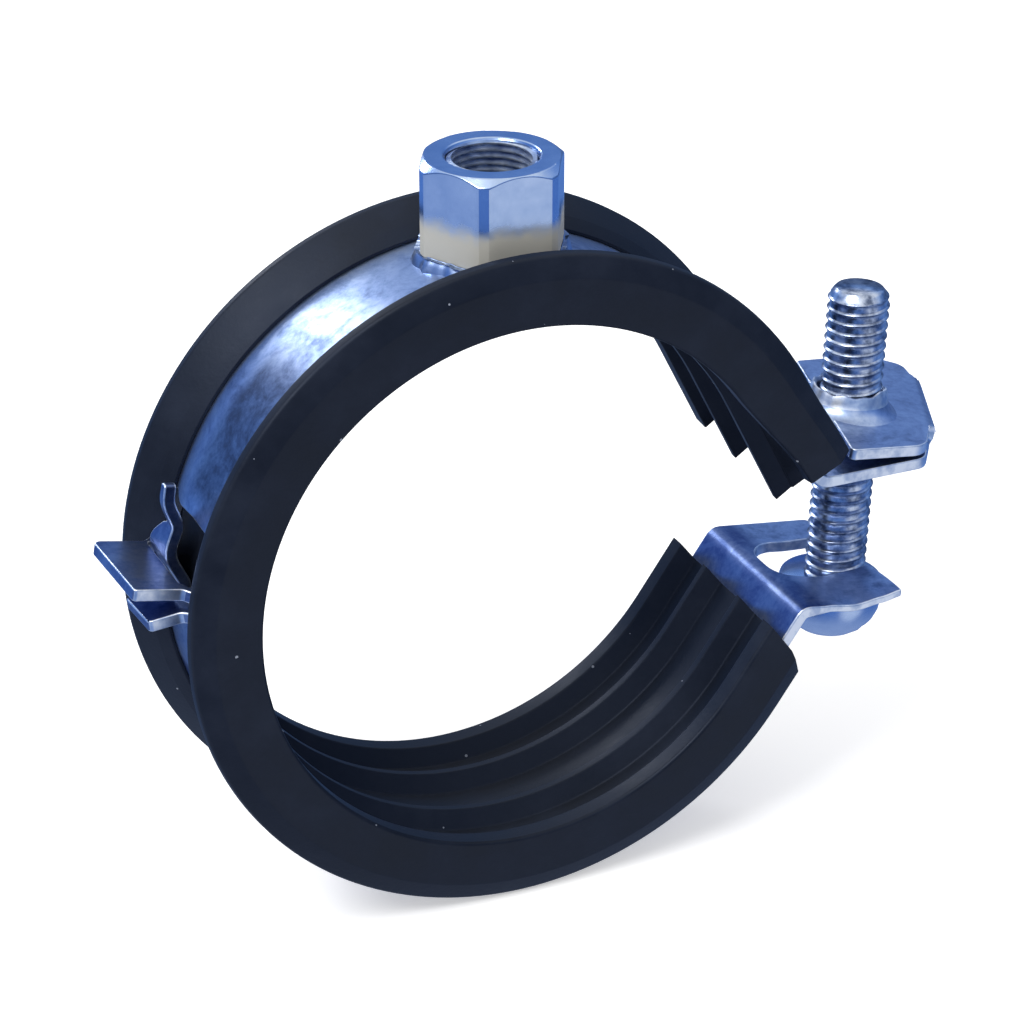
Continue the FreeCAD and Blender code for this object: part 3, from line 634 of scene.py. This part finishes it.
# The tongue is slit free of the flanges on both sides
TONGUE_LOW, TONGUE_HIGH = 0.2, 4.6
tongue_tip = lower_root - 11.4
SLIT = 0.3
outline = rounded([
    (tongue_tip, TONGUE_LOW + 0.1, 0.3),
    (lower_root, TONGUE_LOW, 0),
    (lower_root, TONGUE_LOW - SLIT, 0),
    (lower_tip, TONGUE_LOW - SLIT, 0.25),
    (lower_tip + 0.3, -5.2, 0.5),
    (lower_bend_end - 0.7, -5.4, 0.6),
    (lower_bend_end + 0.7, -FLANGE_HALF, 0.5),
    (lower_shoulder, -FLANGE_HALF, 0.4),
    (lower_shoulder, -STRIP_HALF, 0.5),
    (ear_end_flat, -STRIP_HALF, 0.25),
    (ear_end_flat, SLOT_NEAR, 0.5),
    (slot_root, SLOT_NEAR, 3.0),
    (slot_root, SLOT_FAR, 3.0),
    (ear_end_flat, SLOT_FAR, 0.5),
    (ear_end_flat, STRIP_HALF, 0.6),
    (lower_shoulder, STRIP_HALF, 0.5),
    (lower_shoulder, FLANGE_HALF, 0.4),
    (lower_bend_end + 0.3, FLANGE_HALF, 0.5),
    (lower_tip + 2.6, 5.6, 0),
    (lower_tip + 2.3, TONGUE_HIGH + SLIT, 0),
    (lower_root, TONGUE_HIGH + SLIT, 0),
    (lower_root, TONGUE_HIGH, 0),
    (lower_root - 4.6, TONGUE_HIGH, 0.6),
    (lower_root - 7.4, 1.8, 1.5),
    (tongue_tip, 1.2, 0.3),
])
bm = cut_blank(outline)
TONGUE_STEP = 0.4
ROLL_FROM, ROLL_STEP = -6.0, 0.7
score(bm, tongue_tip, lower_root, TONGUE_STEP)
score(bm, 0.4 - STRIP_HALF, ROLL_FROM - 0.05, ROLL_STEP, heading=math.pi / 2)
score(bm, lower_root, ARC_EAR, ARC_STEP)
score(bm, ARC_EAR, ear_end_flat, EAR_STEP)
thicken(bm, SHEET)
# The ear and the arc lie right of the ring's middle, the tongue and the flanges left of it
right = [v for v in bm.verts if v.co.x > 0]
left = [v for v in bm.verts if v.co.x <= 0]
tongue, flanges = [], []
for v in left:
    if v.co.x <= lower_root:
        on_tongue = TONGUE_LOW - SLIT / 2 < v.co.y < TONGUE_HIGH + SLIT / 2
        (tongue if on_tongue else flanges).append(v)


def ear_wave(x):
    """How far the lower ear dips between its bend and its outer end."""
    places = [(28.7, 0.0), (30.5, -0.1), (33.8, -0.6), (36.5, -0.35), (38.5, -0.05)]
    for (x0, z0), (x1, z1) in zip(places, places[1:]):
        if x0 <= x <= x1:
            share = (x - x0) / (x1 - x0)
            return z0 + (z1 - z0) * share * share * (3 - 2 * share)
    return 0.0 if x < 28.7 else -0.05


# The ear's near side is pressed thin and rolls down towards its edge; its far side droops evenly
ROLL_DEPTH = 0.2
PRESSED_BY = 0.4
DROOP = 0.13
for v in right:
    along = v.co.x - lower_ear_flat
    if along > 0:
        roll = max(0.0, ROLL_FROM - v.co.y) / (STRIP_HALF + ROLL_FROM)
        pressed = PRESSED_BY * roll if v.co.z > SHEET / 2 else 0.0
        far = (v.co.y + STRIP_HALF) / (2 * STRIP_HALF)
        dip = ear_wave(along + LOWER_EAR_X) * (1 - far) - DROOP * along * far
        v.co.z -= dip - (ROLL_DEPTH * roll * roll - pressed) * min(1.0, along / 2)
fold(right, (ARC_EAR + RUN_EAR, 0), LOWER_TURN, LOWER_BEND + SHEET)
fold(right, (0, 0), LOWER_RIGHT_TURN, PIPE_SIDE, up=False)
# The tongue's S, from its tip to its root: each bend's place, angle, radius and way
S_BENDS = [
    (-9.28, 28.4, 2.0, False), (-6.58, 41.5, 1.9, True), (-3.72, 47.7, 2.0, False), (-1.25, 20.7, 2.0, True),
]
for bend_at, turn, radius, up in S_BENDS:
    fold(tongue, (lower_root + bend_at, 0), turn, radius, math.pi, up)
fold(flanges, (lower_root, 0), LOWER_FLANGE_TURN, FLANGE_BEND, math.pi)
fold(left, (0, 0), LOWER_LEFT_TURN, PIPE_SIDE, math.pi, up=False)
bmesh.ops.translate(bm, verts=bm.verts[:], vec=(0, 0, PIPE_SIDE))
bmesh.ops.scale(bm, vec=(1, 1, -1), verts=bm.verts[:])
bmesh.ops.recalc_face_normals(bm, faces=bm.faces[:])
lower_strip = make_piece("lower_half_strip", bm, zinc, bevel=0.16, edge_highlight=painted_edge_highlight)
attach(lower_strip, "lower_half")
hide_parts("lower_half_ring")


# Rubber lining. One extruded strip of black rubber that is slipped over both half rings:
# rims with lips over the steel outside, two ribs inside, and its ends cut off slantwise.
RIM_OUT = 31.3
BORE = 25.0
RIB_FOOT = 26.6
LINING_HALF = 10.2
half_section = [
    (3.1, BORE, 0.15), (3.8, BORE, 0.15), (4.9, RIB_FOOT, 0.3), (7.2, RIB_FOOT, 0.3), (8.3, BORE, 0.25),
    (LINING_HALF, BORE, 0.35), (LINING_HALF, 29.3, 0.5), (9.3, RIM_OUT - 0.1, 0.5), (8.4, RIM_OUT, 0.5),
    (6.1, 29.85, 0.5), (5.0, 28.92, 0.12), (5.0, 28.65, 0), (9.27, 28.65, 0), (9.27, 27.46, 0),
]
corners = [(r, y, k) for y, r, k in half_section]
corners += [(r, -y, k) for y, r, k in reversed(half_section)]
corners += [(RIB_FOOT, -2.0, 0.3), (RIB_FOOT, 2.0, 0.3)]
section = rounded(corners)

# Black rubber as it leaves the die: nearly matt and a little blue where it mirrors the room.
# Light dust lies on it in specks, and its faint clouds are some 6 mm wide.
rubber, tree = new_material("black_extruded_rubber")
place = add_node(tree, "ShaderNodeTexCoord").outputs["Object"]
cloud = add_node(tree, "ShaderNodeTexNoise", Vector=place, Scale=160.0, Detail=5.0, Roughness=0.6)
fine = add_node(tree, "ShaderNodeTexNoise", Vector=place, Scale=2400.0, Detail=3.0, Roughness=0.6)
base = stops(
    add_node(tree, "ShaderNodeValToRGB", Fac=cloud.outputs["Fac"]),
    (0.3, "#0E1117"), (0.5, "#131720"), (0.7, "#1A1F2A"),
)
cells = add_node(tree, "ShaderNodeTexVoronoi", {"feature": "F1"}, Vector=place, Scale=800.0, Randomness=1.0)
picked = add_node(tree, "ShaderNodeSeparateColor", Color=cells.outputs["Color"])
speck_size = spread(tree, picked.outputs["Red"], 0.88, 1.0, 0.0, 0.12)
near_speck = {0: cells.outputs["Distance"], 1: speck_size}
speck = add_node(tree, "ShaderNodeMath", {"operation": "LESS_THAN"}, near_speck).outputs["Value"]
tint = mixed(tree, speck, base.outputs["Color"], linear("#8A91A0"))
gloss = spread(tree, cloud.outputs["Fac"], 0.3, 0.7, 0.42, 0.58)
bump = add_node(tree, "ShaderNodeBump", Height=fine.outputs["Fac"], Strength=0.2, Distance=0.00008)
surface = add_node(
    tree, "ShaderNodeBsdfPrincipled", Base_Color=tint, Roughness=gloss, IOR=1.52,
    Specular_IOR_Level=0.34, Specular_Tint=linear("#C6D4F2"), Normal=bump.outputs["Normal"],
)
add_node(tree, "ShaderNodeOutputMaterial", Surface=surface.outputs["BSDF"])


def around(angle):
    return Vector((math.cos(angle), 0, math.sin(angle)))


# The strip is spun round from the upper end to the lower, and then runs on straight at both
upper_turn, lower_turn = math.radians(UPPER_END), math.radians(LOWER_END)
out = around(upper_turn)
end_way = Vector((math.sin(upper_turn), 0, -math.cos(upper_turn)))
lower_way = Vector((-math.sin(lower_turn), 0, math.cos(lower_turn)))
RUN_STEPS, RUN_STEP = 9, 2.0
bm = bmesh.new()
verts = [bm.verts.new(out * r + Vector((0, y, 0))) for r, y in section]
edges = [bm.edges.new(pair) for pair in zip(verts, verts[1:] + verts[:1])]
made = bmesh.ops.spin(
    bm, geom=verts + edges, cent=(0, 0, 0), axis=(0, -1, 0), angle=math.radians(360 - UPPER_END + LOWER_END),
    steps=150, use_merge=False, use_duplicate=False, dvec=(0, 0, 0),
)
last_edges = [e for e in made["geom_last"] if isinstance(e, bmesh.types.BMEdge)]
for edge_loop, way in ((edges, end_way), (last_edges, lower_way)):
    for step in range(RUN_STEPS):
        grown = bmesh.ops.extrude_edge_only(bm, edges=edge_loop)["geom"]
        edge_loop = [e for e in grown if isinstance(e, bmesh.types.BMEdge)]
        moved = [v for v in grown if isinstance(v, bmesh.types.BMVert)]
        bmesh.ops.translate(bm, verts=moved, vec=way * RUN_STEP)
# The ends are cut off by knife: each cut is a point it goes through, the way it faces, and which
# side of the gap it is on, 1 above and -1 below
GAP_Z = -4
GAP_X = 10
END_RUN = 11.2
END_SLANT = 0.8
END_SKEW = 0.22
touch = out * BORE
knives = [
    (touch + end_way * END_RUN, end_way + out * END_SLANT + Vector((0, END_SKEW, 0)), 1),
    (Vector((24.6, 0, -9.3)), Vector((0.806, 0, 0.592)), -1),
    (Vector((26.2, 0, -11.25)), Vector((0.92, 0, 0.392)), -1),
]
for point, side, half in knives:
    centres = [(f, f.calc_center_median()) for f in bm.faces]
    near = [f for f, centre in centres if centre.x > GAP_X and (centre.z - GAP_Z) * half > 0]
    parts = dict.fromkeys(near)
    for f in near:
        parts.update(dict.fromkeys([*f.edges, *f.verts]))
    bmesh.ops.bisect_plane(
        bm, geom=list(parts), dist=1e-5, plane_co=point, plane_no=side.normalized(), clear_outer=True
    )
caps = bmesh.ops.holes_fill(bm, edges=[e for e in bm.edges if e.is_boundary], sides=0)
bmesh.ops.triangulate(bm, faces=caps["faces"])
bmesh.ops.recalc_face_normals(bm, faces=bm.faces[:])


def eased(value):
    share = min(1.0, max(0.0, value))
    return share * share * (3 - 2 * share)


# At the upper ear the near rim is cut off shorter than the rest and is pushed outwards a little
NEAR_RUN, NEAR_CUT = 9.5, 1.4
NEAR_RIM = -6.8
INNER_PUSH, OUTER_PUSH = 2.0, 0.6
LINING_DEPTH = RIM_OUT - BORE
for v in bm.verts:
    if v.co.x < GAP_X or v.co.z < -5 or v.co.y > NEAR_RIM:
        continue
    run = (v.co - touch).dot(end_way)
    rise = (v.co - touch).dot(out)
    if run > 0:
        full = END_RUN - END_SLANT * rise - END_SKEW * v.co.y
        shorter = run * (NEAR_RUN - NEAR_CUT * eased((-7 - v.co.y) / 2)) / full
        v.co -= end_way * (run - shorter)
        run = shorter
    high = rise / LINING_DEPTH
    inner, outer = INNER_PUSH * eased((run + 4) / 12), OUTER_PUSH * eased((run + 1) / 9)
    v.co += out * (inner * (1 - high) + outer * high)
lining = make_piece("rubber_strip_lining", bm, rubber, bevel=0.18, sharp=34)
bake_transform(lining)
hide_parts("rubber_lining")


# Closing screw. An M6 screw with a full thread, a turned tip and a wide slotted head that
# bears on the lower ear from below. It is cold formed and zinc plated.
SCREW_TOP = 18.7
HEAD_TOP = -10.6
SCREW_LENGTH = SCREW_TOP - HEAD_TOP
SCREW_PITCH = 1.0

# Rolled thread: the plating is thin and greyer there, with oily dark streaks
rolled_thread, tree = new_material("rolled_zinc_thread")
place = add_node(tree, "ShaderNodeTexCoord").outputs["Object"]
streaks = add_node(tree, "ShaderNodeTexNoise", Vector=place, Scale=700.0, Detail=4.0, Roughness=0.65)
tint = stops(
    add_node(tree, "ShaderNodeValToRGB", Fac=streaks.outputs["Fac"]),
    (0.36, "#616C84"), (0.5, "#A4AFC5"), (0.62, "#CED6E4"),
)
surface = add_node(
    tree, "ShaderNodeBsdfPrincipled", Base_Color=tint.outputs["Color"], Metallic=1.0, Roughness=0.28
)
add_node(tree, "ShaderNodeOutputMaterial", Surface=surface.outputs["BSDF"])

TIP_RADIUS, TIP_SLOPE = 2.2, 0.9
shank = bmesh.new()
turn_profile = [
    (2.68, 0), (2.66, 0.3), (2.69, 0.62), (2.86, 0.76), (2.9, 0.82), (2.86, 0.88), (2.68, SCREW_PITCH),
]
helix(shank, turn_profile, SCREW_PITCH, 0.0, SCREW_LENGTH)
for v in shank.verts:
    radius, angle = radius_and_angle(v)
    limit = TIP_RADIUS + (SCREW_LENGTH - v.co.z) * TIP_SLOPE
    if radius > limit:
        v.co.x *= limit / radius
        v.co.y *= limit / radius
bmesh.ops.holes_fill(shank, edges=[e for e in shank.edges if e.is_boundary], sides=0)
bmesh.ops.recalc_face_normals(shank, faces=shank.faces[:])
stand(shank, on_screw(HEAD_TOP), screw_way)
shank_piece = make_piece("screw_thread", shank, rolled_thread, sharp=50)
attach(shank_piece, "screw")

head = turned([
    (0, 0), (4.5, 0), (4.82, -0.12), (4.92, -0.4), (4.92, -2.0), (4.8, -2.9), (4.4, -3.8), (3.8, -4.6),
    (2.9, -5.25), (1.5, -5.6), (0, -5.7),
], steps=64)
HEAD_OFFSET = 0.35
stand(head, on_screw(HEAD_TOP) - Vector((HEAD_OFFSET, 0, 0)), screw_way)
head_piece = make_piece("screw_head", head, steel)
# The driver slot is cut across the head's dome
DRIVER_SLOT = (1.4, 14, 4)
DRIVER_SLOT_Z = -6.1
DRIVER_SLOT_TURN = Matrix.Rotation(math.radians(28), 3, "Z")
cutter = bmesh.new()
bmesh.ops.create_cube(cutter, size=1)
bmesh.ops.scale(cutter, vec=DRIVER_SLOT, verts=cutter.verts[:])
bmesh.ops.translate(cutter, verts=cutter.verts[:], vec=(0, 0, DRIVER_SLOT_Z))
bmesh.ops.rotate(cutter, cent=(0, 0, 0), matrix=DRIVER_SLOT_TURN, verts=cutter.verts[:])
stand(cutter, on_screw(HEAD_TOP), screw_way)
cutter_piece = make_piece("driver_slot_cutter", cutter, steel)
cut = head_piece.modifiers.new("driver_slot", "BOOLEAN")
cut.object = cutter_piece
cut.solver = "EXACT"
made_head = head_piece.evaluated_get(bpy.context.evaluated_depsgraph_get())
slotted = bpy.data.meshes.new_from_object(made_head)
head_piece.modifiers.clear()
head_piece.data = slotted
bpy.data.objects.remove(cutter_piece)
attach(head_piece, "screw")
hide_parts("closing_screw")


# Floor, light and camera: a pale floor under the clamp, two soft lamps and a white room.
FLOOR_HALF = 4000
FLOOR_Z = -31.4
floor_mesh = bmesh.new()
bmesh.ops.create_grid(floor_mesh, x_segments=1, y_segments=1, size=FLOOR_HALF)
bmesh.ops.translate(floor_mesh, verts=floor_mesh.verts[:], vec=(0, 0, FLOOR_Z))
# Matt paper, which the camera sees a little lighter than it lights the clamp
paper, tree = new_material("pale_paper_floor")
matt = add_node(tree, "ShaderNodeBsdfDiffuse", Color=linear("#FAFAFA"))
seen = add_node(tree, "ShaderNodeLightPath")
lift = times(tree, seen.outputs["Is Camera Ray"], 0.42)
glow = add_node(tree, "ShaderNodeEmission", Color=linear("#FFFFFF"), Strength=lift)
sweep = add_node(
    tree, "ShaderNodeAddShader", numbered={0: matt.outputs["BSDF"], 1: glow.outputs["Emission"]}
)
add_node(tree, "ShaderNodeOutputMaterial", Surface=sweep.outputs["Shader"])
floor = make_piece("floor", floor_mesh, paper)
floor.visible_glossy = False
floor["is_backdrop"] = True


def soft_lamp(name, place_at, size, power):
    """A rectangular lamp that faces the clamp."""
    lamp = bpy.data.lights.new(name, "AREA")
    lamp.shape = "RECTANGLE"
    lamp.size, lamp.size_y = size
    lamp.energy = power
    thing = bpy.data.objects.new(name, lamp)
    thing.location = place_at
    thing.rotation_mode = "QUATERNION"
    thing.rotation_quaternion = (-Vector(place_at)).to_track_quat("-Z", "Y")
    bpy.context.scene.collection.objects.link(thing)


soft_lamp("key_softbox", (-0.55, -0.25, 0.75), (0.45, 0.45), 6)
soft_lamp("back_softbox", (-0.2, 0.86, 0.43), (0.26, 0.13), 1.6)
world = bpy.data.worlds.new("white_studio")
bpy.context.scene.world = world
world.use_nodes = True
tree = world.node_tree
tree.nodes.clear()
# Round the white sweep the studio has blue walls, which only the bright steel mirrors
toward = add_node(tree, "ShaderNodeTexCoord").outputs["Generated"]
height = add_node(tree, "ShaderNodeSeparateXYZ", Vector=toward).outputs["Z"]
walls = stops(
    add_node(tree, "ShaderNodeValToRGB", Fac=spread(tree, height, -1.0, 1.0)),
    (0.05, "#A9BADB"), (0.22, "#6E8FC8"), (0.33, "#5E8AD0"), (0.47, "#56729F"), (0.56, "#5A7099"),
    (0.71, "#5F8FD2"), (0.79, "#A6C2EC"), (0.87, "#F4F7FC"), (1.0, "#FFFFFF"),
)
# Three panels stand in the room. Each has the way towards it, the cosines of the angles where
# its light begins and where it is full, its share and its colour.
PANELS = [
    ((0.368, -0.817, -0.444), 0.86, 0.97, 0.9, "#EEF4FF"),
    ((-0.891, 0.09, -0.444), 0.88, 0.98, 0.58, "#D6E5FC"),
    ((-0.505, 0.858, 0.088), 0.85, 0.97, 0.8, "#6FA0EA"),
]
room = walls.outputs["Color"]
for way, begins, full, share, code in PANELS:
    near = add_node(tree, "ShaderNodeVectorMath", {"operation": "DOT_PRODUCT"}, {0: toward, 1: way})
    patch = spread(tree, near.outputs["Value"], begins, full, 0.0, share, smooth=True)
    room = mixed(tree, patch, room, linear(code))
# The camera and the mirroring metal see the sky at full strength; it lights the clamp at 0.6
rays = add_node(tree, "ShaderNodeLightPath").outputs
mirrored = mixed(tree, rays["Is Glossy Ray"], linear("#FFFFFF"), room)
looked_at = {0: rays["Is Camera Ray"], 1: rays["Is Glossy Ray"]}
direct = add_node(tree, "ShaderNodeMath", {"operation": "MAXIMUM"}, looked_at).outputs["Value"]
backdrop = add_node(
    tree, "ShaderNodeBackground", Color=mirrored, Strength=spread(tree, direct, 0.0, 1.0, 0.6, 1.0)
)
add_node(tree, "ShaderNodeOutputWorld", Surface=backdrop.outputs["Background"])

# The place that the photo was taken from, in metres, and the way back towards it
CAMERA_PLACE = (-0.11113, -0.25271, 0.14019)
AZIMUTH, ELEVATION = math.radians(-24.25), math.radians(26.38)
level = math.cos(ELEVATION)
back = Vector((math.sin(AZIMUTH) * level, -math.cos(AZIMUTH) * level, math.sin(ELEVATION)))
camera_data = bpy.data.cameras.new("photo_camera")
camera_data.sensor_width = 36
camera_data.lens = 120.69
camera_data.clip_start = 0.01
camera_data.clip_end = 20
camera = bpy.data.objects.new("photo_camera", camera_data)
bpy.context.scene.collection.objects.link(camera)
camera.location = CAMERA_PLACE
camera.rotation_mode = "QUATERNION"
camera.rotation_quaternion = (-back).to_track_quat("-Z", "Y")
bpy.context.scene.camera = camera
bpy.context.scene.view_settings.view_transform = "Standard"

low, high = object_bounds()
